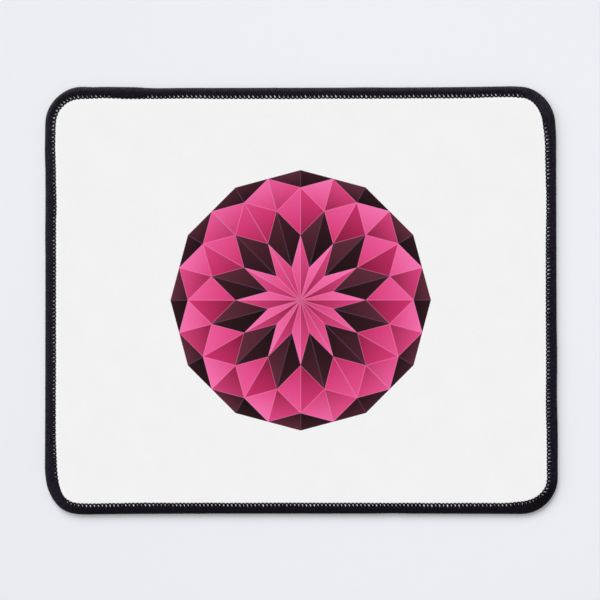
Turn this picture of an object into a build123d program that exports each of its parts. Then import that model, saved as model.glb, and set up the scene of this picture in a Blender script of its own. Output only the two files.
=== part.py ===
from build123d import *

import math
import os

# Cloth-topped mouse pad with an overlocked thread edge, lying flat on a table.
# Origin at the middle of the underside, X along the long side, Z up, millimetres.

# Outline of the finished pad
pad_length = 240.0
pad_width = 200.0
corner_radius = 17.0

# The two bonded sheets
rubber_thickness = 2.5
cloth_thickness = 0.5

# The seam and how it bites into the sheets
thread_thickness = 0.45       # looper thread lying over a sheet
edge_wrap = 0.8               # the same thread, built up where it turns round the cut edge
cloth_pinch = 0.15            # the cloth is pulled this much thinner under the seam
pinch_slope = 0.6             # width of the slope from the seam back up to the full sheet
seam_clearance = 0.05         # flat cloth left between the stitches and that slope
edge_round = 1.25             # rounding of the wrapped edge, above and below
edge_steps = 3                # flats that make up that rounding
corner_cover = 0.1            # least thread left over the square corners of the sheets

# The stitches
seam_bight = 4.5              # needle line to the edge of the pad
stitch_pitch = 1.88
stitch_neck = 0.12            # needle thread still seen where it dives into its hole
stitch_bow = 0.45             # how far a needle stitch bows inwards between two holes
opening_width = 0.65          # gap between two looper legs at the needle line
opening_length = 1.4          # from the needle line out to where the legs meet
opening_lean = 0.5            # how far the far end of a gap trails along the seam

# Heights
margin_bottom = thread_thickness
cloth_margin_top = rubber_thickness + cloth_thickness - cloth_pinch
pad_height = cloth_margin_top + thread_thickness
looper_joint = pad_height / 2     # the two looper threads lock into each other here


def outline(inset):
    """Sizes of the pad's rounded outline, a given distance in from its edge."""
    return pad_length - 2 * inset, pad_width - 2 * inset, corner_radius - inset


# Needle line: the closed row of needle holes, run anticlockwise seen from above
with BuildSketch() as needle_outline:
    RectangleRounded(*outline(seam_bight))
needle_line = needle_outline.sketch.face().outer_wire()
stitch_count = round(needle_line.length / stitch_pitch)


def seam_point(stitch, inset):
    """Point by the needle line: how many stitches along it, and how far in from it."""
    share = stitch / stitch_count
    inward = Vector(0, 0, 1).cross(needle_line.tangent_at(share))
    return needle_line.position_at(share) + inward * inset


# Wrapped edge: height over the looper joint and inset of each outline up its rounding.
# A larger round would bare the square corner of the sheets.
thinnest_wrap = min(edge_wrap, thread_thickness)
largest_round = (math.sqrt(2) * thinnest_wrap - corner_cover) / (math.sqrt(2) - 1)
wrap_round = min(edge_round, 0.9 * looper_joint, largest_round)
wrap_outlines = [(0.0, 0.0)]
for step in range(edge_steps + 1):
    turn = math.radians(90) * step / edge_steps
    rise = looper_joint - wrap_round * (1 - math.sin(turn))
    wrap_outlines.append((rise, wrap_round * (1 - math.cos(turn))))

# Rubber base: the foam sheet, squeezed up from below where the seam holds it
stitched_inset = seam_bight + stitch_neck

with BuildPart() as rubber_base:
    with BuildSketch(Plane.XY.offset(margin_bottom)):
        RectangleRounded(*outline(edge_wrap))
    extrude(amount=rubber_thickness - margin_bottom)
    with BuildSketch(Plane.XY.offset(margin_bottom)):
        RectangleRounded(*outline(stitched_inset))
    with BuildSketch():
        RectangleRounded(*outline(stitched_inset + pinch_slope))
    loft(ruled=True)
rubber_base.part.label = "rubber_base"

# Cloth: bonded flat to the rubber and pinched thinner along its margin
cloth_field_inset = stitched_inset + stitch_bow + seam_clearance

with BuildPart() as printed_cloth:
    with BuildSketch(Plane.XY.offset(rubber_thickness)):
        RectangleRounded(*outline(edge_wrap))
    extrude(amount=cloth_thickness - cloth_pinch)
    with BuildSketch(Plane.XY.offset(cloth_margin_top)):
        RectangleRounded(*outline(cloth_field_inset))
    with BuildSketch(Plane.XY.offset(rubber_thickness + cloth_thickness)):
        RectangleRounded(*outline(cloth_field_inset + pinch_slope))
    loft(ruled=True)
printed_cloth.part.label = "printed_cloth"

# Needle thread: one stitch from each needle hole to the next, bowed to a peak halfway
bows = []
for stitch in range(stitch_count):
    bows.append(seam_point(stitch, stitch_neck))
    bows.append(seam_point(stitch + 0.5, stitch_neck + stitch_bow))

with BuildPart() as needle_thread:
    with BuildSketch(Plane.XY.offset(cloth_margin_top)):
        RectangleRounded(*outline(seam_bight))
        with BuildLine():
            Polyline(*bows, close=True)
        make_face(mode=Mode.SUBTRACT)
    extrude(amount=thread_thickness)
needle_thread.part.label = "needle_thread"

# Upper looper thread: legs from the needle line over the cloth and down the edge.
# The cloth shows through a leaning, tapered opening between each pair of legs.
half_mouth = opening_width / (2 * stitch_pitch)
trail = opening_lean / stitch_pitch
openings = []
for stitch in range(stitch_count):
    middle = stitch + 0.5
    openings.append(seam_point(middle - half_mouth, stitch_neck / 2))
    openings.append(seam_point(middle + trail, -opening_length))
    openings.append(seam_point(middle + half_mouth, stitch_neck / 2))

with BuildPart() as upper_looper_thread:
    for rise, inset in wrap_outlines:
        with BuildSketch(Plane.XY.offset(looper_joint + rise)):
            RectangleRounded(*outline(inset))
    loft(ruled=True)
    with BuildSketch(Plane.XY.offset(cloth_margin_top)):
        RectangleRounded(*outline(seam_bight))
        with BuildLine():
            Polyline(*openings, close=True)
        make_face()
    extrude(amount=thread_thickness, mode=Mode.SUBTRACT)
    add(rubber_base.part, mode=Mode.SUBTRACT)
    add(printed_cloth.part, mode=Mode.SUBTRACT)
upper_looper_thread.part.label = "upper_looper_thread"

# Lower looper thread: the same wrap from the middle of the edge round to the underside
with BuildPart() as lower_looper_thread:
    for rise, inset in wrap_outlines:
        with BuildSketch(Plane.XY.offset(looper_joint - rise)):
            RectangleRounded(*outline(inset))
    loft(ruled=True)
    with BuildSketch():
        RectangleRounded(*outline(stitched_inset))
    extrude(amount=thread_thickness, mode=Mode.SUBTRACT)
    add(rubber_base.part, mode=Mode.SUBTRACT)
lower_looper_thread.part.label = "lower_looper_thread"

os.makedirs("parts", exist_ok=True)
export_step(rubber_base.part, "parts/rubber_base.step")
export_step(printed_cloth.part, "parts/printed_cloth.step")
export_step(needle_thread.part, "parts/needle_thread.step")
export_step(upper_looper_thread.part, "parts/upper_looper_thread.step")
export_step(lower_looper_thread.part, "parts/lower_looper_thread.step")
print("stitches round the pad:", stitch_count)
print("overall size:", pad_length, "x", pad_width, "x", round(pad_height, 3), "mm")
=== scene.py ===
# %% [markdown]
# # Dressing a mouse pad with a stitched edge
#
# The pad is a sheet of foam rubber with a knitted cloth bonded on top. A black overlock
# seam runs round the cut edge: a needle thread on its inner side, and two looper threads
# that wrap the edge from above and below. The CAD model already holds the sizes. This
# script loads it as a fixed frame and builds the finished surfaces in the same place.

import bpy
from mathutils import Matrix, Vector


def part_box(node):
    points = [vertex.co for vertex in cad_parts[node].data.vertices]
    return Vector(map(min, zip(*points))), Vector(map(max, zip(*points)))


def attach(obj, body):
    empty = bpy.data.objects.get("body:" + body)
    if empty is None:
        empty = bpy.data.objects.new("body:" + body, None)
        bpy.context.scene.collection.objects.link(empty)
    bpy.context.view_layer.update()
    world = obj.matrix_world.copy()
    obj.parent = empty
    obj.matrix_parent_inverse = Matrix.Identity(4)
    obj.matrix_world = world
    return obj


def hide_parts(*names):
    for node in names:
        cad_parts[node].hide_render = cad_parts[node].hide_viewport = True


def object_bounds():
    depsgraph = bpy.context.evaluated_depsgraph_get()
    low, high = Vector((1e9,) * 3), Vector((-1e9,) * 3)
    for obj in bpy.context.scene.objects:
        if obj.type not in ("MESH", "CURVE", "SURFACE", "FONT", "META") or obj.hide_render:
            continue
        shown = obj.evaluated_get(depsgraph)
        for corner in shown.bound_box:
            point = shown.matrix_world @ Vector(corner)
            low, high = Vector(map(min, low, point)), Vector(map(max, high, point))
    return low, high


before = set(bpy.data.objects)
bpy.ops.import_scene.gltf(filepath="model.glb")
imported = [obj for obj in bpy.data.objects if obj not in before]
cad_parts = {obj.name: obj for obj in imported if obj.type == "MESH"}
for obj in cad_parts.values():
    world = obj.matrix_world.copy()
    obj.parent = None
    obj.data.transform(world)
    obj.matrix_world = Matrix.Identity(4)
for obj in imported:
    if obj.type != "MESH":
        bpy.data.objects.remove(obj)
cad_low, cad_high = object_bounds()
print("CAD box in mm:", [round(1000 * v, 2) for v in (*cad_low, *cad_high)])

# %% Libraries, unit and random seed
import math
import random

import bmesh
import bpy
from mathutils import Matrix, Vector, noise

mm = 0.001
random.seed(11)

# %% [markdown]
# ## Sizes that come from the frame
#
# A piece that replaces a CAD solid must sit exactly where the solid is. The safest way is
# to read every height and inset from the solids' boxes, and to list only what a
# box can't tell, such as the radius of a corner.

# %% Read the sheets and the seam
cloth_low, cloth_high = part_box("printed_cloth")
rubber_low, rubber_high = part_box("rubber_base")
stitch_low, stitch_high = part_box("needle_thread")
looper_low, looper_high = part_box("upper_looper_thread")

corner_radius = 17.0 * mm
shoulder_reach = 3.20 * mm
seam_bight = cad_high.x - stitch_high.x
band_top = looper_high.z
edge_middle = looper_low.z
margin_top = stitch_low.z
thread_thickness = band_top - margin_top
margin_bottom = thread_thickness
print("needle line", round(seam_bight / mm, 2), "mm in from the edge")
print("thread", round(thread_thickness / mm, 2), "mm thick")

# %% [markdown]
# ## The camera
#
# The photograph looks straight down, but the pad's near and right sides are a little
# larger than the sides across from them, so the camera leans by under a degree. A lens of
# 85 mm keeps the outline nearly free of perspective. The distance follows from how many
# pixels the pad covers.

# %% Place the camera
picture_pixels = 600
pad_pixels = 512.6
pad_centre_pixel = (300.6, 300.15)
lens = 85.0
sensor = 36.0
near_tilt = math.radians(0.78)
right_tilt = math.radians(0.40)
roll = math.radians(-0.06)

pixel = (cad_high.x - cad_low.x) / pad_pixels
distance = picture_pixels * pixel * lens / sensor
aim = Vector((
    (picture_pixels / 2 - pad_centre_pixel[0]) * pixel,
    (pad_centre_pixel[1] - picture_pixels / 2) * pixel,
    cloth_high.z,
))
camera_data = bpy.data.cameras.new("overhead_camera")
camera_data.lens = lens
camera_data.sensor_width = sensor
camera_data.clip_start = 10 * mm
camera = bpy.data.objects.new("overhead_camera", camera_data)
camera.rotation_euler = (near_tilt, right_tilt, roll)
backwards = camera.rotation_euler.to_matrix() @ Vector((0.0, 0.0, 1.0))
camera.location = aim + backwards * distance
bpy.context.scene.collection.objects.link(camera)
bpy.context.scene.camera = camera
print("camera", round(distance, 4), "m above the cloth")

# %% [markdown]
# ## The path of the seam
#
# Every thread follows the needle line, a rounded rectangle. It helps to think of the seam
# as a straight strip with two coordinates: how far along the needle line, and how far out
# from it. One function bends that strip round the pad, so each piece can be made flat and
# wrapped afterwards.
#
# A sewn edge is not a true rounded rectangle. The needle kept another distance from the
# edge on each side, which is the drift, and wandered at the corners and in a few places
# along the sides. Some corners were cut rounder, and here and there the thread built up
# the edge by a hair. Bumps that rise and fall as a squared cosine describe these.

# %% Bend a straight strip round the needle line
needle_radius = corner_radius - seam_bight
arc = math.pi / 2 * needle_radius
# near, right, far and left side, each followed by its corner
runs = [2 * (reach - needle_radius) for reach in stitch_high.xy] * 2
side_starts = [sum(runs[:side]) + side * arc for side in range(4)]
corner_starts = [start + run for start, run in zip(side_starts, runs)]
seam_length = sum(runs) + 4 * arc
side_drift = [0.03 * mm, 0.04 * mm, 0.23 * mm, 0.06 * mm]
# corner or side, place as a share of it, depth and reach in mm
corner_drifts = [(0, 0.12, 0.95, 12.5), (1, 0.10, 1.08, 15.0), (2, -0.10, 0.20, 10.0),
                 (2, 0.60, -0.18, 9.0), (3, -0.08, 0.72, 16.0), (3, 0.20, 0.15, 6.0)]
corner_cuts = [(0, 0.50, 0.36, 12.5), (1, 0.45, 0.95, 17.0), (2, 0.50, 0.53, 14.0),
               (3, 0.28, 0.88, 11.0), (3, 0.88, 0.20, 6.5)]
needle_wanders = [
    (0, 0.16, 0.18, 16.0), (0, 0.82, -0.15, 14.0),
    (1, 0.20, 0.17, 14.0), (1, 0.77, -0.35, 20.0), (1, 0.92, 0.14, 10.0),
    (2, 0.05, -0.27, 14.0), (2, 0.76, -0.20, 18.0), (2, 0.94, -0.22, 11.0),
    (3, 0.07, -0.37, 14.0), (3, 0.23, 0.28, 12.0), (3, 0.92, 0.12, 10.0),
]
edge_wanders = [
    (0, 0.71, 0.17, 9.0), (1, 0.12, -0.23, 19.0), (1, 0.34, -0.18, 18.0),
    (2, 0.35, -0.12, 12.0), (2, 0.82, 0.17, 11.0), (2, 1.00, -0.23, 9.0),
    (3, 0.08, -0.20, 11.0), (3, 0.31, -0.12, 14.0),
]
slow_wander = 0.16 * mm
wander_speed = 5.0
# on the far side, the end of the seam was sewn over its start
lap_place = corner_starts[2] - 18.0 * mm
lap_reach = 12.0 * mm
lap_bulge = 0.30 * mm


def blend(first, second, share):
    """A number part of the way from one to another."""
    return first + (second - first) * share


def seam_part(along):
    """Which side a place belongs to, how far along its run, and how far round its corner."""
    along %= seam_length
    side = max(side for side in range(4) if along >= side_starts[side])
    past = along - side_starts[side]
    return side, min(past, runs[side]), max(0.0, past - runs[side])


def place_bumps(table, starts, lengths):
    """Place along the seam, depth and reach of each bump of a table."""
    return [(starts[part] + share * lengths[part], depth * mm, reach * mm)
            for part, share, depth, reach in table]


arcs = [arc] * 4
cuts = place_bumps(corner_cuts, corner_starts, arcs)
needle_bumps = place_bumps(corner_drifts, corner_starts, arcs)
needle_bumps += place_bumps(needle_wanders, side_starts, runs)
edge_bumps = place_bumps(edge_wanders, side_starts, runs)


def bump_height(along, bumps):
    """How high the bumps stand at a place along the seam."""
    height = 0.0
    for place, depth, reach in bumps:
        away = abs(along - place)
        away = min(away, seam_length - away) / reach
        if away < 1.0:
            height += depth * math.cos(math.pi / 2 * away) ** 2
    return height


def strip_place(along, out):
    """World x and y of a point on the strip, which runs anticlockwise from the near left."""
    along %= seam_length
    side, straight, bent = seam_part(along)
    following = (side + 1) % 4
    held = min(1.0, max(0.0, 1.0 - out / seam_bight))
    lap = max(0.0, 1.0 - (abs(along - lap_place) / lap_reach) ** 4)
    turns = 2 * math.pi * along / seam_length
    circle = Vector((math.cos(turns), math.sin(turns), 0.0)) * wander_speed
    slow = noise.noise(circle + Vector((0.0, 0.0, 2.0)))
    drift = blend(side_drift[side], side_drift[following], bent / arc)
    inwards = bump_height(along, cuts)
    inwards += held * (drift + bump_height(along, needle_bumps) + slow_wander * slow)
    inwards += (1.0 - held) * (bump_height(along, edge_bumps) - lap_bulge * lap)
    reach = needle_radius + out - inwards
    angle = bent / needle_radius
    turn = side * math.pi / 2
    ahead = Vector((math.cos(turn), math.sin(turn)))
    outward = Vector((math.sin(turn), -math.cos(turn)))
    return (ahead * (straight - runs[side] / 2 + reach * math.sin(angle))
            + outward * (runs[following] / 2 + reach * math.cos(angle)))


print("needle line is", round(seam_length / mm, 1), "mm long")

# %% [markdown]
# Where the machine turned a corner, it also pulled the foam outwards by part of a
# millimetre. Each corner has its own pull, which fades quickly along both sides.

# %% Pull the corners
corner_pulls = {(-1, 1): (-0.55, 0.95), (1, 1): (0.20, 1.10),
                (1, -1): (0.65, -0.40), (-1, -1): (-0.33, -0.87)}
pull_fade = 4


def seam_place(along, out):
    """World x and y of a point on the strip, with the pull of the nearest corner."""
    place = strip_place(along, out)
    pull = corner_pulls[1 if place.x > 0 else -1, 1 if place.y > 0 else -1]
    share = abs(place.x / cad_high.x * place.y / cad_high.y) ** pull_fade
    return place + Vector(pull) * mm * share


print("largest pull", round(max(math.hypot(*pull) for pull in corner_pulls.values()), 2), "mm")

# %% [markdown]
# ## Where the needle went in
#
# A sewn edge is never as regular as a pattern. The feed of the machine changes from side
# to side, so the pitch and the lean of the legs do too. Each side gets the habits that the
# photograph shows, and every stitch a small error. The gaps tell how wide the openings
# between the legs are, at places evenly spaced along the side.

# %% Lay out the needle holes
side_habits = [
    # near, right, far and left side, with lengths in mm
    {"pitch": 1.835, "lean": 0.24, "length": 1.30, "gaps": (1.10, 0.87, 1.08, 1.18, 1.08)},
    {"pitch": 1.785, "lean": 0.20, "length": 1.75, "gaps": (0.68, 0.86, 0.98, 0.93, 0.96)},
    {"pitch": 2.035, "lean": 0.44, "length": 1.34, "gaps": (0.96, 1.00, 1.15, 0.86, 0.68)},
    {"pitch": 1.780, "lean": 0.10, "length": 1.35, "gaps": (0.97, 0.84, 0.75, 0.78, 0.56)},
]
corner_pitch = 1.80
pitch_error = 0.04


def habits(along):
    """Pitch, lean, and the length and gap of the openings at a place along the seam."""
    side, straight, bent = seam_part(along)
    this, following = side_habits[side], side_habits[(side + 1) % 4]
    gaps = this["gaps"]
    if bent > 0.0:
        return {"pitch": corner_pitch,
                "lean": blend(this["lean"], following["lean"], bent / arc),
                "length": blend(this["length"], following["length"], bent / arc),
                "gap": blend(gaps[-1], following["gaps"][0], bent / arc)}
    place = straight / runs[side] * (len(gaps) - 1)
    before = min(int(place), len(gaps) - 2)
    return {**this, "gap": blend(gaps[before], gaps[before + 1], place - before)}


holes = [0.0]
while holes[-1] < seam_length:
    error = random.uniform(1.0 - pitch_error, 1.0 + pitch_error)
    holes.append(holes[-1] + habits(holes[-1])["pitch"] * mm * error)
stitch_count = len(holes) - 1
holes = [hole * seam_length / holes[-1] for hole in holes]
seam_pitch = seam_length / stitch_count


def along_at(count):
    """Distance along the needle line, given in stitches from the first hole."""
    whole = math.floor(count)
    rounds, index = divmod(whole, stitch_count)
    start, end = holes[index], holes[index + 1]
    return rounds * seam_length + start + (count - whole) * (end - start)


print(stitch_count, "stitches,", round(seam_pitch / mm, 3), "mm apart")

# %% [markdown]
# Each stitch also has its own character. The white openings between the looper legs are
# wide in most places. In three they are pulled shut, where the thread ran tight round a
# corner or where the seam's end was sewn over its start. At one corner they are partly
# shut, and at another they gape. A slow noise gives neighbours a likeness, and a quick
# random part keeps them apart.

# %% Give each stitch its own character
tight_spots = [
    # x, y and reach in mm, share of the opening that is shut (less than 0 if it gapes),
    # and share of the bow that is left
    (-81.0, 95.5, 9.0, 1.0, 1.15),
    (110.6, 90.1, 9.3, 1.0, 0.45),
    (-113.6, -89.5, 5.7, 1.0, 0.45),
    (105.0, -95.0, 8.0, 0.40, 0.8),
    (-115.0, 86.0, 7.5, -0.50, 1.0),
]
stitch_bow = 0.52 * mm
barely_open = 0.2


def tightness(place):
    """The share of an opening that is shut at a place, and the share of the bow left."""
    pulled, bow = 0.0, 1.0
    for x, y, reach, shut, bow_left in tight_spots:
        away = (place - Vector((x, y)) * mm).length / (reach * mm)
        near = max(0.0, 1.0 - away ** 4)
        pulled += near * shut
        bow *= blend(1.0, bow_left, near)
    return pulled, bow


stitches = []
for index in range(stitch_count):
    middle = (holes[index] + holes[index + 1]) / 2
    habit = habits(middle)
    pulled, bow = tightness(seam_place(middle, 0.0))
    slow = noise.noise(Vector((index * 0.21, 3.7, 0.0)))
    slower = noise.noise(Vector((index * 0.06, 9.1, 0.0)))
    openness = habit["gap"] * (1.0 + 0.35 * slow + random.uniform(-0.3, 0.3))
    stitches.append({
        "open": max(0.0, openness * (1.0 - pulled)),
        "length": habit["length"] * mm * (1.0 + 0.3 * slower + random.uniform(-0.15, 0.15)),
        "lean": habit["lean"] * (1.0 + 0.25 * slow) + random.uniform(-0.02, 0.02),
        "bow": stitch_bow * bow * (1.0 + random.uniform(-0.12, 0.12)),
        "rise": random.uniform(-1.0, 1.0),
    })
print(sum(stitch["open"] < barely_open for stitch in stitches), "stitches are pulled shut")

# %% [markdown]
# ## How the looper thread wraps the edge
#
# The thread runs flat over the cloth, then down a shoulder to the middle of the edge. It
# squeezes the foam, so the shoulder is a quarter of an ellipse, wider than it is high. The
# list holds the lengths of thread, from the needle hole, at which a leg is cut across.

# %% Measure the wrap
lock_depth = 0.08 * mm
half_thread = thread_thickness / 2
flat_run = seam_bight - shoulder_reach
bend_out = shoulder_reach - half_thread
bend_down = band_top - edge_middle - half_thread
bend_run = math.pi / 2 * math.sqrt((bend_out ** 2 + bend_down ** 2) / 2)
leg_cuts = [-0.35 * mm, 0.05 * mm, 0.45 * mm, 0.85 * mm, flat_run]
leg_cuts += [flat_run + bend_run * share for share in (0.13, 0.26, 0.40, 0.55, 0.70, 0.85, 1.0)]
leg_cuts.append(flat_run + bend_run + lock_depth)
print("a leg is", round((leg_cuts[-1] - leg_cuts[0]) / mm, 2), "mm long")

# %% [markdown]
# ## A helper for pieces
#
# A finished piece is a mesh object at the origin, with its place in its vertices. One
# helper turns a bmesh into an object. The other also turns its faces outwards, ties it to
# the frame, and counts its triangles and open edges. A closed surface has no open edge.

# %% Make an object from a bmesh
sharp_angle = math.radians(50)


def make_object(name, bm, material):
    """An object from a bmesh, with one material."""
    mesh = bpy.data.meshes.new(name)
    bm.to_mesh(mesh)
    bm.free()
    mesh.materials.append(material)
    made = bpy.data.objects.new(name, mesh)
    bpy.context.scene.collection.objects.link(made)
    return made


def make_piece(name, bm, material, node):
    """An object on the pad's body that stands for a CAD node."""
    bmesh.ops.recalc_face_normals(bm, faces=bm.faces[:])
    open_edges = sum(not edge.is_manifold for edge in bm.edges)
    piece = make_object(name, bm, material)
    piece.data.shade_smooth()
    piece.data.set_sharp_from_angle(angle=sharp_angle)
    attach(piece, "root")
    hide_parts(node)
    triangles = sum(len(face.vertices) - 2 for face in piece.data.polygons)
    print(name, "has", triangles, "triangles and", open_edges, "open edges")
    return piece


# %% [markdown]
# ## Helpers for materials
#
# Each material is a small graph of nodes. Short functions add a node with its inputs set,
# do sums, and start a material from the Principled shader. A pattern that several
# materials use becomes a node group with named sockets.

# %% Add nodes, materials and groups in few lines


def add_node(tree, kind, inputs=None, **settings):
    """Add a node, with each of the given inputs linked to a socket or set to a value."""
    node = tree.nodes.new(kind)
    for name, value in settings.items():
        setattr(node, name, value)
    for name, source in (inputs or {}).items():
        if isinstance(source, bpy.types.NodeSocket):
            tree.links.new(source, node.inputs[name])
        else:
            node.inputs[name].default_value = source
    return node


def add_math(tree, operation, *sides):
    """Add a Math node, where each side is a socket or a number. Returns its output."""
    sides = dict(enumerate(sides))
    return add_node(tree, "ShaderNodeMath", sides, operation=operation).outputs[0]


def map_range(tree, value, start, end, first, last, kind="LINEAR"):
    """Map a socket, which goes from start to end, onto first to last. Returns the output."""
    inputs = {"Value": value, "From Min": start, "From Max": end, "To Min": first, "To Max": last}
    return add_node(tree, "ShaderNodeMapRange", inputs, interpolation_type=kind).outputs[0]


def scale_colour(tree, colour, factor):
    """Scale a colour by a number, where each is a socket or a value. Returns the output."""
    inputs = {0: colour, "Scale": factor}
    return add_node(tree, "ShaderNodeVectorMath", inputs, operation="SCALE").outputs[0]


def add_colours(tree, first, second):
    """Add two colours. Returns the output."""
    inputs = {0: first, 1: second}
    return add_node(tree, "ShaderNodeVectorMath", inputs, operation="ADD").outputs[0]


def object_place(tree):
    """The place on the object, whole and as its X and Y alone. Returns three outputs."""
    place = add_node(tree, "ShaderNodeTexCoord").outputs["Object"]
    parts = add_node(tree, "ShaderNodeSeparateXYZ", {"Vector": place})
    return place, parts.outputs["X"], parts.outputs["Y"]


def new_material(name, **values):
    """A material with one Principled shader and its constant values on its own sockets."""
    material = bpy.data.materials.new(name)
    material.use_nodes = True
    shader = material.node_tree.nodes["Principled BSDF"]
    for socket, value in values.items():
        shader.inputs[socket.replace("_", " ")].default_value = value
    return material, material.node_tree, shader


def add_relief(tree, shader, height, strength, distance):
    """Let a height tilt the light on a material, as small bumps would."""
    inputs = {"Height": height, "Strength": strength, "Distance": distance}
    bump = add_node(tree, "ShaderNodeBump", inputs)
    tree.links.new(bump.outputs["Normal"], shader.inputs["Normal"])


def new_group(name, inputs, output):
    """An empty node group with a vector input, number inputs and one number output."""
    group = bpy.data.node_groups.new(name, "ShaderNodeTree")
    sockets = group.interface
    sockets.new_socket(name="Vector", in_out="INPUT", socket_type="NodeSocketVector")
    for socket, default in inputs.items():
        made = sockets.new_socket(name=socket, in_out="INPUT", socket_type="NodeSocketFloat")
        made.default_value = default
    sockets.new_socket(name=output, in_out="OUTPUT", socket_type="NodeSocketFloat")
    return group, group.nodes.new("NodeGroupInput"), group.nodes.new("NodeGroupOutput")


def use_group(tree, group, vector, **values):
    """Place a group in a material, with its own values. Returns the group's output."""
    inputs = {"Vector": vector, **values}
    return add_node(tree, "ShaderNodeGroup", inputs, node_tree=group).outputs[0]


# %% [markdown]
# ## Shared patterns
#
# Cloth, thread and rubber all vary a little from place to place. One group mottles them:
# it adds a coarse and a fine noise into a factor close to one. A second group twists yarn.
# It turns the thread's own map into slanting ridges, the plies of the yarn, with fine
# fibres between them.

# %% A group that mottles any surface
mottle, given, result = new_group(
    "mottle", {"Coarse": 60.0, "Fine": 900.0, "Amount": 0.05}, "Factor")
noises = []
for size, detail in (("Coarse", 3.0), ("Fine", 2.0)):
    inputs = {"Vector": given.outputs["Vector"], "Scale": given.outputs[size], "Detail": detail}
    noises.append(add_node(mottle, "ShaderNodeTexNoise", inputs).outputs["Fac"])
swing = add_math(mottle, "SUBTRACT", add_math(mottle, "ADD", *noises), 1.0)
factor = add_math(mottle, "MULTIPLY_ADD", swing, given.outputs["Amount"], 1.0)
mottle.links.new(factor, result.inputs["Factor"])

# %% A group that twists yarn
fibre_stretch = 9.0
yarn, given, result = new_group("yarn_twist", {"Plies": 1.1, "Slant": 1.0, "Fibre": 0.4}, "Height")
parts = add_node(yarn, "ShaderNodeSeparateXYZ", {"Vector": given.outputs["Vector"]})
along, aside = parts.outputs["X"], parts.outputs["Y"]
slanted = add_math(yarn, "MULTIPLY_ADD", aside, given.outputs["Slant"], along)
phase = add_math(yarn, "MULTIPLY", slanted, given.outputs["Plies"])
wave = add_math(yarn, "SINE", add_math(yarn, "MULTIPLY", phase, math.pi))
ridge = add_math(yarn, "ABSOLUTE", wave)
stretched = add_math(yarn, "MULTIPLY", aside, fibre_stretch)
spot = add_node(yarn, "ShaderNodeCombineXYZ", {"X": phase, "Y": stretched}).outputs["Vector"]
fibres = add_node(yarn, "ShaderNodeTexNoise", {"Vector": spot, "Scale": 2.0, "Detail": 3.0})
height = add_math(yarn, "MULTIPLY_ADD", fibres.outputs["Fac"], given.outputs["Fibre"], ridge)
yarn.links.new(height, result.inputs["Height"])
print("groups:", [group.name for group in bpy.data.node_groups])

# %% [markdown]
# ## Black thread
#
# The loopers carry a soft, bulky yarn that flattens over the edge, and the needle carries
# a tighter one. Both take a black dye that leans to purple. Black fibre is darker than
# black plastic, because light is caught between the filaments, so the specular level is
# low. Painted shade makes it darkest between two legs and in the grooves of the plies. It
# is also mottled more than cloth, because spun yarn takes the dye unevenly.
#
# Each vertex stores how its thread points to the light from the upper left: one if straight
# at it, nought if across it, and less if away from it. The colour takes painted light from
# it. A leg that lies across the light is lighter, as at the near left and far right
# corners, and gets a painted white glint, most of all where it turns and on the far side.
# Where a leg turns over the edge on the side towards the light, a painted grey highlight is
# added, and it has more sheen.

# %% Materials for the two yarns
looper_black = (0.0066, 0.0046, 0.0104)
# painted highlight: grey added where a leg turns over the edge towards the light
painted_highlight_grey = (0.043, 0.040, 0.038)
needle_black = (0.0048, 0.0034, 0.0076)
no_colour = (0.0, 0.0, 0.0)
white = (1.0, 1.0, 1.0)
darkest_patch = 0.25
# painted light: a leg that points at the light is a little lighter, one pointing away a little
# darker
facing_shine = 0.15
# painted glint: white added where a leg lies across the light
glint_power = 3.0
# each of these scales a value and adds to it
# painted shade in the grooves between the plies
ply_light = (0.7, 0.4)
# painted light: a leg that lies across the light is lighter
across_shine = (0.90, 0.62)
# painted glint: stronger where a leg turns over the edge
outer_glint = (0.7, 0.6)
opened_bloom = (0.6, 0.15)
# each of these maps a value: from where to where, and from what to what
# painted shade: a leg darkens towards its sides, where the next leg shades it
flank_shade = (0.15, 0.50, 1.25, 0.30)
# where a leg turns over the edge, and how far it faces the light: together they mask the painted
# grey highlight and the extra sheen
shoulder_turn_range = ((flat_run + 0.09 * bend_run) / mm, leg_cuts[-1] / mm, 0.0, 1.0)
facing_light_range = (0.45, 0.85, 0.12, 1.0)
# painted glint: stronger towards the far side, where the light comes from
glint_level = (cad_low.y, cad_high.y, 0.0030, 0.0135)


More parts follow.
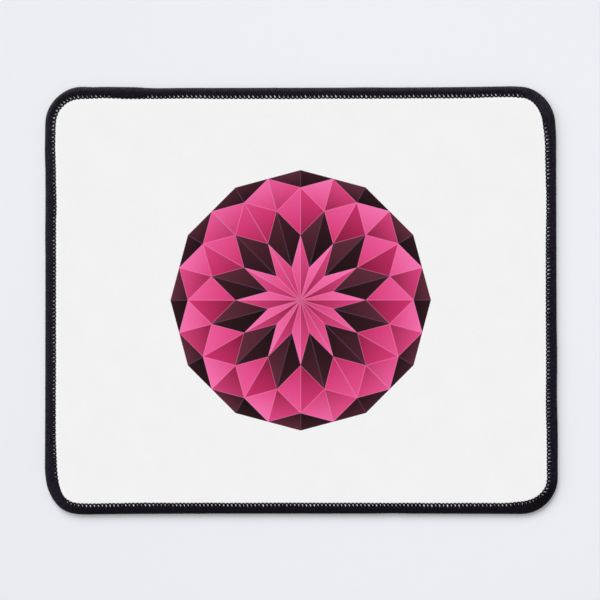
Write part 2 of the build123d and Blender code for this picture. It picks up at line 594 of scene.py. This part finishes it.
def thread_material(name, colour, highlight_grey, plies, slant, fibre, depth, roughness):
    """Black sewing thread, whose twist and fibres follow the map along the thread, with painted
    light, painted shade and a painted glint in its colour.
    """
    material, tree, shader = new_material(
        name, Roughness=roughness, Specular_IOR_Level=0.07, Sheen_Roughness=0.25)
    along = add_node(tree, "ShaderNodeUVMap", uv_map="thread").outputs["UV"]
    parts = add_node(tree, "ShaderNodeSeparateXYZ", {"Vector": along})
    place, _, far = object_place(tree)
    twist = use_group(tree, yarn, along, Plies=plies, Slant=slant, Fibre=fibre)
    patches = use_group(tree, mottle, place, Coarse=700.0, Fine=2000.0, Amount=2.4)
    patches = add_math(tree, "MAXIMUM", patches, darkest_patch)
    aside = add_math(tree, "ABSOLUTE", parts.outputs["Y"])
    # painted shade: darker in the grooves of the plies and towards the sides of a leg
    lit = add_math(tree, "MULTIPLY", add_math(tree, "MULTIPLY_ADD", twist, *ply_light),
                   map_range(tree, aside, *flank_shade))
    facing = add_node(tree, "ShaderNodeAttribute", attribute_name="to_light").outputs["Fac"]
    across = add_math(tree, "SUBTRACT", 1.0, add_math(tree, "MULTIPLY", facing, facing))
    # painted light: lighter where the thread lies across the light, and a little where it points at
    # it
    shine = add_math(tree, "MULTIPLY_ADD", across, *across_shine)
    shine = add_math(tree, "MULTIPLY_ADD", facing, facing_shine, shine)
    bend = map_range(tree, parts.outputs["X"], *shoulder_turn_range, "SMOOTHSTEP")
    facing_light = map_range(tree, facing, *facing_light_range, "SMOOTHSTEP")
    bent = add_math(tree, "MULTIPLY", bend, facing_light)
    # painted glint: white where the thread lies across the light, more on the far side and where it
    # turns
    glint = add_math(tree, "MULTIPLY", add_math(tree, "POWER", across, glint_power),
                     map_range(tree, far, *glint_level))
    glint = add_math(tree, "MULTIPLY", glint, add_math(tree, "MULTIPLY_ADD", bend, *outer_glint))
    # the dye, with painted light, a painted glint and a painted grey highlight added
    dye_and_painted_light = scale_colour(tree, colour, shine)
    dye_and_painted_light = add_colours(tree, dye_and_painted_light, scale_colour(tree, white, glint))
    # painted highlight: grey where a leg turns over the edge towards the light
    dye_and_painted_light = add_colours(tree, dye_and_painted_light, scale_colour(tree, highlight_grey, bent))
    tint = scale_colour(tree, dye_and_painted_light, add_math(tree, "MULTIPLY", patches, lit))
    tree.links.new(tint, shader.inputs["Base Color"])
    bloom = add_math(tree, "MULTIPLY_ADD", bent, *opened_bloom)
    tree.links.new(bloom, shader.inputs["Sheen Weight"])
    add_relief(tree, shader, twist, strength=0.8, distance=depth)
    return material


looper_yarn = thread_material("looper_yarn", looper_black, painted_highlight_grey, plies=1.1, slant=0.9,
                              fibre=0.6, depth=0.06 * mm, roughness=0.75)
needle_yarn = thread_material("needle_yarn", needle_black, no_colour, plies=1.9, slant=1.2,
                              fibre=0.3, depth=0.04 * mm, roughness=0.65)
print("thread materials:", looper_yarn.name, needle_yarn.name)

# %% [markdown]
# ## A comb of tubes
#
# Hundreds of stitches have one shape, so they start as one: a cone with equal ends is a
# tube, and cutting its long edges across lets it bend. A spin by no angle, with a step to
# the side, copies it. Copying the copies too doubles their number each time, which is much
# quicker than one by one, and the spare ones are deleted. Then every vertex is moved to its
# place. A tube has few faces, because it is repeated so often.

# %% Lay out equal tubes side by side
tube_sides = 6
tube_step = 4.0
flat_side = math.sin(math.radians(60))


def comb_of_tubes(count, spans):
    """Tubes of radius one, side by side along x and one long in z, cut into spans."""
    bm = bmesh.new()
    bmesh.ops.create_cone(bm, cap_ends=True, segments=tube_sides, radius1=1.0, radius2=1.0,
                          depth=1.0, matrix=Matrix.Translation((0.0, 0.0, 0.5)))
    long_edges = [edge for edge in bm.edges if edge.verts[0].co.z != edge.verts[1].co.z]
    bmesh.ops.subdivide_edges(bm, edges=long_edges, cuts=spans - 1, use_grid_fill=True)
    made = 1
    while made < count:
        bmesh.ops.spin(bm, geom=bm.verts[:] + bm.edges[:] + bm.faces[:], axis=(0, 0, 1),
                       dvec=(tube_step * made, 0, 0), angle=0.0, steps=1, use_duplicate=True)
        made *= 2
    spare = [vert for vert in bm.verts if vert.co.x > tube_step * (count - 0.5)]
    bmesh.ops.delete(bm, geom=spare, context="VERTS")
    return bm


def tube_parts(vert):
    """Which tube a vertex belongs to, how far across and up it is, and the share along."""
    tube = round(vert.co.x / tube_step)
    return tube, (vert.co.x - tube * tube_step) / flat_side, vert.co.y, vert.co.z


def map_threads(bm, spots):
    """Store each vertex's place on its thread, in mm, and how that points to the light."""
    thread_map = bm.loops.layers.uv.new("thread")
    light_layer = bm.verts.layers.float.new("to_light")
    for vert, (along, aside, to_light) in zip(bm.verts, spots):
        vert[light_layer] = to_light
        for loop in vert.link_loops:
            loop[thread_map].uv = (along, aside)


# %% [markdown]
# ## The looper legs
#
# At every needle hole the looper thread turns: one leg runs out over the edge, and the
# next one comes back. Two legs leave the cloth bare between them near the needle line, and
# close up further out, where the yarn spreads. A leg's centre line follows the section of
# the wrap, and its cuts get a little lower where it dips into the hole.

# %% The section of the wrap
hole_dip = 0.16 * mm
dip_start = 0.45 * mm
dip_length = 0.80 * mm


def wrap_section(run):
    """How far out, how high and which way out is, at a length of thread from the hole."""
    if run <= flat_run:
        dive = max(0.0, dip_start - run) / dip_length
        return run, band_top - half_thread - hole_dip * dive ** 2, (0.0, 1.0)
    past = run - flat_run - bend_run
    if past >= 0.0:
        return flat_run + bend_out, edge_middle - past, (1.0, 0.0)
    angle = math.pi / 2 * (1.0 + past / bend_run)
    outward = Vector((bend_down * math.sin(angle), bend_out * math.cos(angle))).normalized()
    return flat_run + bend_out * math.sin(angle), edge_middle + bend_down * math.cos(angle), outward


print("the shoulder is", round(bend_out / mm, 2), "by", round(bend_down / mm, 2), "mm")

# %% [markdown]
# Two numbers shape a leg at each cut: how far its centre is from its needle hole, and how
# wide the yarn has spread. Both are shares of the pitch, so that the legs fan out and
# still meet where the seam goes round a corner. The same comb, mirrored in height and
# without the lean, makes the lower looper's legs on the underside.

# %% Sew the looper legs
spread_width = 0.60
spread_offset = 0.25
mouth_width = 0.36
mouth_offset = 0.15
lean_reach = 2.2 * mm
last_cut = len(leg_cuts) - 1
tucks = {0: 0.7, last_cut: 1.0}
tuck_narrows = 0.4
tuck_flattens = 0.3
leg_fullness = 0.95
return_flatter = 0.08
fullness_error = 0.04
# the direction of the light, for the painted light on the yarn
upper_left = Vector((-0.55, 0.835))


def leg_shape(openness, length, run):
    """Centre of a leg from its hole and its width, as shares of the pitch."""
    bare = openness * (1.0 - min(1.0, max(0.0, run / length)))
    width = blend(spread_width, mouth_width, min(1.0, bare))
    return blend(spread_offset, mouth_offset, bare), width


def sew_looper(name, node, below):
    """Both legs of every stitch, on the cloth side or mirrored to the underside."""
    bm = comb_of_tubes(2 * stitch_count, last_cut)
    headings = [(seam_place(hole, mm) - seam_place(hole, 0.0)).normalized() for hole in holes]
    spots = []
    for vert in bm.verts:
        tube, across, up, share = tube_parts(vert)
        index, coming_back = divmod(tube, 2)
        stitch = stitches[index]
        cut = round(share * last_cut)
        run = leg_cuts[cut]
        offset, width = leg_shape(stitch["open"], stitch["length"], run)
        lean = 0.0 if below else stitch["lean"]
        trail = lean * min(max(run, 0.0), lean_reach) / seam_pitch
        centre = index + (1.0 - offset if coming_back else offset) + trail
        tuck = tucks.get(cut, 0.0)
        aside = across * width / 2 * (1.0 - tuck_narrows * tuck)
        out, height, outward = wrap_section(run)
        fullness = leg_fullness - return_flatter * coming_back + fullness_error * stitch["rise"]
        lift = half_thread * (fullness * (1.0 + up) - 1.0 - tuck_flattens * tuck)
        out += outward[0] * lift
        height += outward[1] * lift
        place = seam_place(along_at(centre + aside), out)
        vert.co = (place.x, place.y, band_top - height if below else height)
        spots.append((run / mm, aside * seam_pitch / mm, headings[index].dot(upper_left)))
    map_threads(bm, spots)
    return make_piece(name, bm, looper_yarn, node)


sew_looper("upper_looper_legs", "upper_looper_thread", below=False)
sew_looper("lower_looper_legs", "lower_looper_thread", below=True)

# %% [markdown]
# ## The needle thread
#
# Between two holes the needle thread lies on the cloth and closes the mouth of an opening.
# The looper pulls its middle inwards, so it bows like a scallop. Its tube is moved along a
# sine, turned square to the curve so that it keeps its width, and dips into the cloth at
# both holes. Underneath, only a short loop of it comes out of each hole. It holds down the
# lower looper thread where that turns back.

# %% Sew the needle stitches
needle_spans = 7
needle_half_width = 0.34 * mm
needle_half_height = 0.21 * mm
needle_dive = 0.22 * mm
stitch_overlap = 0.04
loop_start = -0.42 * mm
loop_end = 0.34 * mm
loop_half_width = 0.19 * mm
loop_half_height = 0.15 * mm
# how the needle thread points to the light, for its painted light
needle_to_light = 0.8


def bowed_stitch(index, across, up, share):
    """Place along the seam, inwards and up, and place on the thread, of a stitch's vertex."""
    bow = stitches[index]["bow"]
    pitch = holes[index + 1] - holes[index]
    t = share * (1.0 + 2.0 * stitch_overlap) - stitch_overlap
    arch = math.sin(math.pi * min(1.0, max(0.0, t)))
    slope = bow * math.pi * math.cos(math.pi * t)
    length = math.hypot(pitch, slope)
    side = across * needle_half_width
    along = holes[index] + pitch * t - side * slope / length
    height = margin_top + needle_half_height * (1.0 + up) - needle_dive * (1.0 - arch) ** 2
    return along, bow * arch + side * pitch / length, height, (t * length / mm, side / mm)


def needle_loop(index, across, up, share):
    """The same for the short loop under a needle hole."""
    arch = math.sin(math.pi * share)
    side = across * loop_half_width
    run = blend(loop_start, loop_end, share)
    height = cad_low.z + loop_half_height * (1.0 + up) + needle_dive * (1.0 - arch) ** 2
    return holes[index] + side, -run, height, (run / mm, side / mm)


bm = comb_of_tubes(2 * stitch_count, needle_spans)
spots = []
for vert in bm.verts:
    tube, across, up, share = tube_parts(vert)
    index, below = divmod(tube, 2)
    shape = needle_loop if below else bowed_stitch
    along, inwards, height, spot = shape(index, across, up, share)
    place = seam_place(along, -inwards)
    vert.co = (place.x, place.y, height)
    spots.append((*spot, needle_to_light))
map_threads(bm, spots)
make_piece("needle_stitches", bm, needle_yarn, "needle_thread")

# %% [markdown]
# ## A sheet with a sewn margin
#
# Cloth and rubber are both sheets that the seam squeezes. Their margins get a strip of
# small faces that follows the needle holes, so that the sheet can swell a little between
# the stitches. The strip is a grid, bent round the pad. It starts at the hidden face of the
# sheet and goes round the squeezed edge. Then both of its rims are filled flat. The fill
# takes points within 0.00003 of each other for one row, too coarse for a sheet in metres,
# so the mesh is filled a thousand times larger.

# %% Bend a margin round the pad
columns_per_stitch = 4
merge_distance = 0.001 * mm
fill_scale = 1000.0


def sewn_margin(rows):
    """A ring of faces through rows. Each row has a height of the frame, and in mm its
    distance out from the needle line, its lift and how much it swells between stitches."""
    bm = bmesh.new()
    columns = columns_per_stitch * stitch_count
    spans = len(rows) - 1
    bmesh.ops.create_grid(bm, x_segments=columns, y_segments=spans, size=1.0)
    for vert in bm.verts:
        column = round((vert.co.x + 1.0) / 2 * columns)
        base, out, lift, swell = rows[round((vert.co.y + 1.0) / 2 * spans)]
        between = math.sin(math.pi * (column % columns_per_stitch) / columns_per_stitch)
        place = seam_place(along_at(column / columns_per_stitch), out * mm)
        vert.co = (place.x, place.y, base + (lift + swell * (between - 0.5)) * mm)
    bmesh.ops.remove_doubles(bm, verts=bm.verts[:], dist=merge_distance)
    return bm


def fill_rim(bm, height):
    """Fill the open rims that lie at a height with flat faces."""
    edges = [edge for edge in bm.edges if edge.is_boundary
             and all(abs(vert.co.z - height) < merge_distance for vert in edge.verts)]
    bmesh.ops.scale(bm, vec=[fill_scale] * 3, verts=bm.verts[:])
    bmesh.ops.triangle_fill(bm, use_beauty=True, normal=(0.0, 0.0, 1.0), edges=edges)
    bmesh.ops.scale(bm, vec=[1 / fill_scale] * 3, verts=bm.verts[:])


# %% [markdown]
# ## The printed picture
#
# The middle of the cloth carries a round medallion in pinks and plum, about half as wide
# as the pad. It is a rosette of rhombs, an old quilting pattern. In a rosette of twelve,
# the rhombs of ring k have their side corners on a circle whose radius goes as the sine of
# k times 15 degrees, and each ring sits in the gaps of the one before. A circle of four
# segments, scaled, is a rhomb. One wedge of five rhombs is spun round twelve times.

# %% Lay out the rosette of rhombs
rosette_order = 12
rosette_rings = 5
rosette_radius = 61.0 * mm
half_wedge = math.pi / rosette_order
crease_width = 0.24 * mm


def ring_radius(ring):
    """Radius of the circle that the side corners of a ring's rhombs lie on."""
    return rosette_radius * math.sin(ring * half_wedge)


def add_rosette(bm, ring_layer, crease_layer):
    """Rhombs split along their ridges, each with a narrow border. Returns their faces."""

    def rhombs():
        return [face for face in bm.faces if face[ring_layer]]

    for ring in range(1, rosette_rings + 1):
        long_half = (ring_radius(ring + 1) - ring_radius(ring - 1)) / 2
        wide_half = ring_radius(ring) * math.sin(half_wedge)
        middle = ring_radius(ring) * math.cos(half_wedge)
        matrix = (Matrix.Rotation(0.0 if ring % 2 else half_wedge, 4, "Z")
                  @ Matrix.Translation((middle, 0.0, cloth_high.z))
                  @ Matrix.Diagonal((long_half, wide_half, 1.0, 1.0)))
        made = bmesh.ops.create_circle(bm, cap_ends=True, segments=4, radius=1.0, matrix=matrix)
        corners = sorted(made["verts"], key=lambda vert: vert.co.xy.length)
        corners[0].link_faces[0][ring_layer] = ring
        bmesh.ops.connect_vert_pair(bm, verts=[corners[0], corners[-1]])
    wedge = rhombs()
    geometry = wedge + list({edge for face in wedge for edge in face.edges})
    geometry += list({vert for face in wedge for vert in face.verts})
    copies = rosette_order - 1
    bmesh.ops.spin(bm, geom=geometry, axis=(0, 0, 1), angle=2 * half_wedge * copies,
                   steps=copies, use_duplicate=True)
    corners = list({vert for face in rhombs() for vert in face.verts})
    bmesh.ops.remove_doubles(bm, verts=corners, dist=merge_distance)
    borders = bmesh.ops.inset_individual(
        bm, faces=rhombs(), thickness=crease_width, use_even_offset=True)
    for face in borders["faces"]:
        face[crease_layer] = 1
    return rhombs()


# %% [markdown]
# The picture is dyed into the cloth, so it has colour and no relief. To look folded, each
# rhomb has a lighter and a darker half, as if light fell from the upper left. It also
# deepens towards the middle, where the next ring seems to lie on top, and narrow borders
# catch light as creases do. The corners of the faces store the colours, which keeps the
# edges of the print crisp.

# %% Colour the rosette


def display_colour(red, green, blue):
    """Turn a display colour of 0 to 255 into the linear values that a shader takes."""
    return Vector([(c / 255 / 12.92) if c < 10.3 else ((c / 255 + 0.055) / 1.055) ** 2.4
                   for c in (red, green, blue)])


def dark_to_light(*colours):
    """A dye in three tones, from their display colours."""
    return [display_colour(*colour) for colour in colours]


cloth_white = Vector((0.893, 0.893, 0.893))
# painted light on the slope beside the seam, and painted shade, darker and bluer, on the margin
# under the thread
lit_slope_white = Vector((0.94, 0.94, 0.94))
shaded_margin_white = Vector((0.83, 0.82, 0.90))
slope_low = margin_top + 0.03 * mm
slope_high = cloth_high.z - 0.005 * mm
pink = dark_to_light((142, 28, 64), (222, 68, 129), (247, 116, 177))
deep_pink = dark_to_light((128, 22, 56), (209, 50, 110), (240, 94, 157))
plum = dark_to_light((22, 10, 13), (50, 23, 30), (96, 43, 58))
pink_crease = display_colour(252, 150, 196)
plum_crease = display_colour(120, 82, 118)
ring_dyes = {1: pink, 2: plum, 3: deep_pink, 4: pink, 5: plum}
crease_share = 0.28
picture_light = Vector((-0.55, 0.83))
even_tone = 0.52
light_tone = 0.32
depth_tone = 0.50
fold_tone = 0.14
fold_scale = 40.0


def dye_tone(dyes, tone):
    """Blend the dark, middle and light dye by a tone from 0 to 1."""
    tone = min(1.0, max(0.0, tone)) * 2.0
    lower = min(1, int(tone))
    return dyes[lower].lerp(dyes[lower + 1], tone - lower)


def bare_white(height):
    """White of the cloth: painted shade, darker and bluer, under the thread, and painted light on
    the slope beside it.
    """
    if height < slope_low:
        return shaded_margin_white
    return lit_slope_white if height < slope_high else cloth_white


def colour_rosette(bm, facets, ring_layer, crease_layer):
    """Dye the facets, and give the rest of the cloth its white, with painted shade under the thread
    and painted light on the slope beside it.
    """
    print_layer = bm.loops.layers.float_color.new("print")
    for face in bm.faces:
        for loop in face.loops:
            loop[print_layer] = (*bare_white(loop.vert.co.z), 1.0)
    for face in facets:
        ring = face[ring_layer]
        centre = face.calc_center_median().xy
        bearing = math.atan2(centre.y, centre.x)
        ridge = 0.0 if ring % 2 else half_wedge
        ridge += 2 * half_wedge * round((bearing - ridge) / (2 * half_wedge))
        side = 1.0 if bearing > ridge else -1.0
        facing = Vector((-math.sin(ridge), math.cos(ridge))) * side
        spot = [fold_scale * round(part, 3) for part in (math.cos(ridge), math.sin(ridge))]
        fold = noise.noise(Vector((*spot, ring)))
        lit = even_tone + light_tone * facing.dot(picture_light) + fold_tone * fold
        inner, outer = ring_radius(ring - 1), ring_radius(ring + 1)
        crease = plum_crease if ring_dyes[ring] is plum else pink_crease
        for loop in face.loops:
            outwards = (loop.vert.co.xy.length - inner) / (outer - inner)
            dye = dye_tone(ring_dyes[ring], lit + depth_tone * (outwards - 0.5))
            dye = dye.lerp(crease, crease_share * face[crease_layer])
            loop[print_layer] = (*dye, 1.0)


# %% [markdown]
# ## The printed cloth
#
# The margin under the seam is squeezed thinner, and the cloth rises from it to its full
# height just inside the stitches. The white field between that margin and the rosette is
# filled flat. The cloth counts as a sheet: its flat size is the size it was cut to.

# %% Material of the knitted cloth
knit_wale = 0.42 * mm
knit_course = 0.34 * mm
course_bow = 2.2
course_height = 0.3

knit_white, tree, shader = new_material("knitted_cloth", Roughness=0.85, Specular_IOR_Level=0.08)
place, x, y = object_place(tree)
dye = add_node(tree, "ShaderNodeAttribute", attribute_name="print").outputs["Color"]
patches = use_group(tree, mottle, place, Coarse=70.0, Fine=700.0, Amount=0.035)
tree.links.new(scale_colour(tree, dye, patches), shader.inputs["Base Color"])
wale = add_math(tree, "SINE", add_math(tree, "MULTIPLY", x, math.pi / knit_wale))
rib = add_math(tree, "ABSOLUTE", wale)
course = add_math(tree, "MULTIPLY", y, 2 * math.pi / knit_course)
loops = add_math(tree, "SINE", add_math(tree, "MULTIPLY_ADD", rib, course_bow, course))
knit = add_math(tree, "MULTIPLY_ADD", loops, course_height, rib)
add_relief(tree, shader, knit, strength=0.35, distance=0.05 * mm)
print("stitches of the knit:", round(knit_wale / mm, 2), "by", round(knit_course / mm, 2), "mm")

# %% Make the cloth
cloth_rows = [
    # height of the frame, then in mm distance out, lift and swelling
    (cloth_low.z, 3.25, 0.0, 0.0),
    (cloth_low.z, 3.10, 0.06, 0.0),
    (margin_top, 2.60, -0.16, 0.0),
    (margin_top, 2.00, -0.04, 0.0),
    (margin_top, 1.30, 0.0, 0.0),
    (margin_top, 0.50, 0.0, 0.02),
    (margin_top, 0.0, -0.03, 0.05),
    (margin_top, -0.45, 0.01, 0.04),
    (margin_top, -0.75, 0.05, 0.03),
    (cloth_high.z, -1.0, -0.045, 0.02),
    (cloth_high.z, -1.35, -0.012, 0.0),
    (cloth_high.z, -1.8, 0.0, 0.0),
    (cloth_high.z, -2.4, 0.0, 0.0),
]
bm = sewn_margin(cloth_rows)
ring_layer = bm.faces.layers.int.new("ring")
crease_layer = bm.faces.layers.int.new("crease")
facets = add_rosette(bm, ring_layer, crease_layer)
fill_rim(bm, cloth_high.z)
fill_rim(bm, cloth_low.z)
colour_rosette(bm, facets, ring_layer, crease_layer)
bm.faces.layers.int.remove(crease_layer)
bm.faces.layers.int.remove(bm.faces.layers.int["ring"])
cloth = make_piece("knitted_cloth", bm, knit_white, "printed_cloth")

# %% [markdown]
# ## The rubber base
#
# The foam is squeezed along its margin as the cloth is, but from below, where the lower
# looper's legs cross it. Its underside has a fine imprint, which keeps a pad from sliding,
# and the small pores of foam. Both are too fine for faces, so they are bumps in the
# material.

# %% Material of the foam rubber
imprint_pitch = 1.6 * mm
pore_scale = 3200.0
pore_depth = 0.5
rubber_black = (0.016, 0.016, 0.018)
rubber_roughness = 0.72

foam_black, tree, shader = new_material("foam_rubber", Specular_IOR_Level=0.25)
place, x, y = object_place(tree)
patches = use_group(tree, mottle, place, Coarse=50.0, Fine=1200.0, Amount=0.5)
tree.links.new(scale_colour(tree, rubber_black, patches), shader.inputs["Base Color"])
roughness = add_math(tree, "MULTIPLY", patches, rubber_roughness)
tree.links.new(roughness, shader.inputs["Roughness"])
waves = []
for operation in ("ADD", "SUBTRACT"):
    slant = add_math(tree, "MULTIPLY", add_math(tree, operation, x, y), 2 * math.pi / imprint_pitch)
    waves.append(add_math(tree, "SINE", slant))
lattice = add_math(tree, "MULTIPLY", *waves)
pores = add_node(tree, "ShaderNodeTexVoronoi", {"Vector": place, "Scale": pore_scale})
relief = add_math(tree, "MULTIPLY_ADD", pores.outputs["Distance"], pore_depth, lattice)
add_relief(tree, shader, relief, strength=0.7, distance=0.09 * mm)
print("imprint of the rubber:", round(imprint_pitch / mm, 2), "mm apart")

# %% Make the rubber base
rubber_rows = [
    # height of the frame, then in mm distance out, lift and swelling
    (rubber_high.z, 3.25, 0.0, 0.0),
    (rubber_high.z, 3.70, -0.40, 0.0),
    (edge_middle, 3.95, 0.0, 0.0),
    (margin_bottom, 3.70, 0.75, 0.0),
    (margin_bottom, 3.25, 0.38, 0.0),
    (margin_bottom, 2.60, 0.16, 0.0),
    (margin_bottom, 2.00, 0.04, 0.0),
    (margin_bottom, 1.30, 0.0, 0.0),
    (margin_bottom, 0.50, 0.0, 0.0),
    (margin_bottom, 0.0, 0.03, -0.05),
    (margin_bottom, -0.5, -0.20, -0.04),
    (rubber_low.z, -0.8, 0.07, -0.02),
    (rubber_low.z, -1.2, 0.01, 0.0),
    (rubber_low.z, -1.6, 0.0, 0.0),
    (rubber_low.z, -2.2, 0.0, 0.0),
]
bm = sewn_margin(rubber_rows)
fill_rim(bm, rubber_low.z)
fill_rim(bm, rubber_high.z)
foam_base = make_piece("foam_base", bm, foam_black, "rubber_base")

# %% [markdown]
# ## Floor and light
#
# A pale, faintly blue floor and soft light from the far side suit the thin contact shadow
# on the near side. A weaker light from the left gives the right side its lighter one. A
# sun with a wide angle is as even as a big softbox. One more overhead opens up the
# shadows, and the world fills in the rest. Together they are as bright as one, so each
# colour renders about as it is written. The camera sees the world as a plain pale
# background.

# %% Make the floor
floor_albedo = (0.852, 0.860, 0.902)
floor_size = 1.5
floor_gap = 0.02 * mm
# painted light on the floor: never darker than this share, and lighter to the right and to the far
# side
darkest_floor = 0.94
rise_to_right = 0.06
rise_to_far = 0.09
# painted light falloff: how much darker the floor gets away from the pad, how soon, and the most
# times that adds up
fall_depth = 0.022
fall_slope = 5.0
fall_power = 4.0
fall_limit = 2.0

bm = bmesh.new()
bmesh.ops.create_grid(bm, x_segments=1, y_segments=1, size=floor_size,
                      matrix=Matrix.Translation((0.0, 0.0, cad_low.z - floor_gap)))
material, tree, shader = new_material("pale_floor", Roughness=0.9, Specular_IOR_Level=0.1)
place, x, y = object_place(tree)
patches = use_group(tree, mottle, place, Coarse=12.0, Fine=160.0, Amount=0.012)
# painted light falloff: darker away from the pad, lighter to the right and far side
away = add_node(tree, "ShaderNodeVectorMath", {"Vector": place}, operation="LENGTH")
fall = add_math(tree, "MULTIPLY", away.outputs["Value"], fall_slope)
fall = add_math(tree, "MINIMUM", add_math(tree, "POWER", fall, fall_power), fall_limit)
tone = add_math(tree, "MULTIPLY_ADD", fall, -fall_depth, 1.0)
tone = add_math(tree, "MULTIPLY_ADD", y, rise_to_far, tone)
tone = add_math(tree, "MULTIPLY_ADD", x, rise_to_right, tone)
tone = add_math(tree, "MAXIMUM", tone, darkest_floor)
tint = scale_colour(tree, floor_albedo, add_math(tree, "MULTIPLY", patches, tone))
tree.links.new(tint, shader.inputs["Base Color"])
floor = make_object("floor", bm, material)
print("floor", 2 * floor_size, "m wide")

# %% Light the scene
window_share = 0.36
side_share = 0.15
overhead_share = 0.15
world_share = 1.0 - window_share - side_share - overhead_share
background_level = 0.87


def add_softbox(name, share, azimuth, elevation, softness):
    """A wide sun that gives a level surface its share of the light."""
    data = bpy.data.lights.new(name, "SUN")
    data.angle = math.radians(softness)
    data.energy = share * math.pi / math.sin(math.radians(elevation))
    softbox = bpy.data.objects.new(name, data)
    softbox.rotation_euler = (0.0, math.radians(90 - elevation), math.radians(azimuth))
    bpy.context.scene.collection.objects.link(softbox)
    print(name, "shines with", round(data.energy, 2))


add_softbox("window_light", window_share, azimuth=104, elevation=38, softness=36)
add_softbox("side_light", side_share, azimuth=165, elevation=31, softness=36)
add_softbox("overhead_light", overhead_share, azimuth=90, elevation=80, softness=40)

world = bpy.data.worlds.new("soft_room")
world.use_nodes = True
sky = world.node_tree
background = sky.nodes["Background"]
background.inputs["Color"].default_value = (1.0, 1.0, 1.0, 1.0)
seen = sky.nodes.new("ShaderNodeLightPath").outputs["Is Camera Ray"]
strength = add_math(sky, "MULTIPLY_ADD", seen, background_level - world_share, world_share)
sky.links.new(strength, background.inputs["Strength"])
bpy.context.scene.world = world
bpy.context.scene.view_settings.view_transform = "Standard"
print("world", round(world_share, 2))
